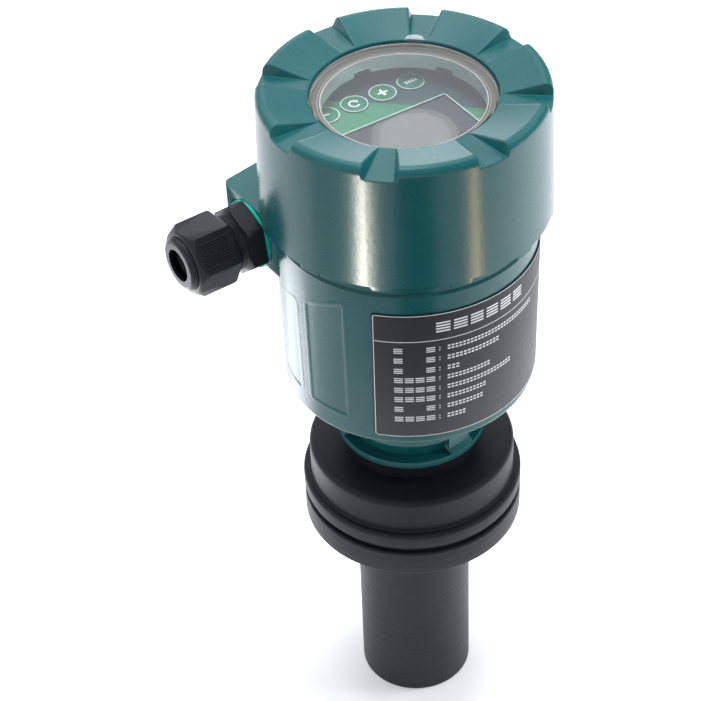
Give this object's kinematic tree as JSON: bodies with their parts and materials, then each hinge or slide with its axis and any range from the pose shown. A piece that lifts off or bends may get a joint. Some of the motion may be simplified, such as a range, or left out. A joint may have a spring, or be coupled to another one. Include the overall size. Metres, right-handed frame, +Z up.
{
  "type": "ultrasonic level sensor",
  "caption": "Compact ultrasonic level sensor: a round cast housing with a screwed window cover, display and keys, cable gland, and a flanged plastic probe.",
  "frame": {"origin": "centre of the probe's sensing face", "axes": "+Z up along the probe and the housing; the keys are read from -Y, turned 33.5 degrees; the gland points to -X and -Y"},
  "size_m": [0.1459, 0.11, 0.3026],
  "materials": {
    "painted_casting": "semi-gloss teal green paint with a fine orange peel",
    "probe_plastic": "black satin turned plastic",
    "gland_nylon": "black moulded nylon",
    "washer_rubber": "green sealing rubber",
    "seal_rubber": "black rubber",
    "window_glass": "clear toughened glass",
    "clear_film": "clear protective film",
    "pale_gasket": "translucent silicone",
    "ring_metal": "machined, satin",
    "plate_black": "black printed plate with a light border",
    "display_print": "printed green film",
    "display_glass": "grey display",
    "key_print": "green key caps with white rings",
    "bezel_plastic": "dark grey moulding",
    "board_laminate": "green circuit board",
    "component_plastic": "black components",
    "terminal_plastic": "green terminal block",
    "plated_metal": "nickel plate",
    "brass_pillar": "turned brass",
    "ribbon_plastic": "grey ribbon",
    "lead_jacket": "black lead jacket",
    "transducer_ceramic": "fired transducer ceramic",
    "matching_resin": "filled resin",
    "potting_resin": "soft black potting"
  },
  "bodies": {
    "housing": {"probe_housing": "probe_plastic", "matching_layer": "matching_resin", "piezo_disc": "transducer_ceramic", "damping_block": "potting_resin", "transducer_lead": "lead_jacket", "flange_gasket": "seal_rubber", "adapter_ring": "probe_plastic", "neck_seal": "seal_rubber", "housing": "painted_casting", "nameplate": "plate_black", "main_board": "board_laminate", "board_parts": "component_plastic", "terminal_block": "terminal_plastic", "terminal_screws": "plated_metal", "pillars": "brass_pillar", "display_board": "board_laminate", "display_carrier": "bezel_plastic", "display_overlay": "display_print", "lcd_module": "display_glass", "key_switches": "component_plastic", "sockets": "component_plastic", "ribbon_cable": "ribbon_plastic", "gland_washer": "washer_rubber", "gland_body": "gland_nylon"},
    "cover_carrier": {"cover_seal": "seal_rubber"},
    "cover": {"cover": "painted_casting", "window_glass": "window_glass", "window_gasket": "pale_gasket", "retaining_ring": "ring_metal", "protective_film": "clear_film"},
    "gland_insert": {"gland_claw": "gland_nylon", "gland_seal": "seal_rubber"},
    "gland_nut": {"gland_nut": "gland_nylon"},
    "key_1": {"key_1": "key_print"},
    "key_2": {"key_2": "key_print"},
    "key_3": {"key_3": "key_print"},
    "key_4": {"key_4": "key_print"}
  },
  "joints": [
    {"name": "cover_rise", "type": "slide", "parent": "housing", "child": "cover_carrier", "axis": [0, 0, 1], "range_m": [0, 0.012]},
    {"name": "cover_turn", "type": "hinge", "parent": "cover_carrier", "child": "cover", "pos_m": [0, 0, 0.26], "axis": [0, 0, 1], "range_deg": [0, 2160]},
    {"name": "gland_travel", "type": "slide", "parent": "housing", "child": "gland_insert", "axis": [-0.8151, -0.5793, 0], "range_m": [-0.003, 0.0075]},
    {"name": "gland_nut_turn", "type": "hinge", "parent": "gland_insert", "child": "gland_nut", "pos_m": [-0.0754, -0.00819, 0.23455], "axis": [-0.8151, -0.5793, 0], "range_deg": [-720, 1800]},
    {"name": "key_1_press", "type": "slide", "parent": "housing", "child": "key_1", "axis": [0, 0, -1], "range_m": [0, 0.0004], "stiffness_N_per_m": 1500},
    {"name": "key_2_press", "type": "slide", "parent": "housing", "child": "key_2", "axis": [0, 0, -1], "range_m": [0, 0.0004], "stiffness_N_per_m": 1500},
    {"name": "key_3_press", "type": "slide", "parent": "housing", "child": "key_3", "axis": [0, 0, -1], "range_m": [0, 0.0004], "stiffness_N_per_m": 1500},
    {"name": "key_4_press", "type": "slide", "parent": "housing", "child": "key_4", "axis": [0, 0, -1], "range_m": [0, 0.0004], "stiffness_N_per_m": 1500}
  ],
  "couplings": [
    {"joint": "cover_rise", "follows": "cover_turn", "m_per_rad": 0.0003183},
    {"joint": "gland_nut_turn", "follows": "gland_travel", "rad_per_m": 4188.7}
  ]
}
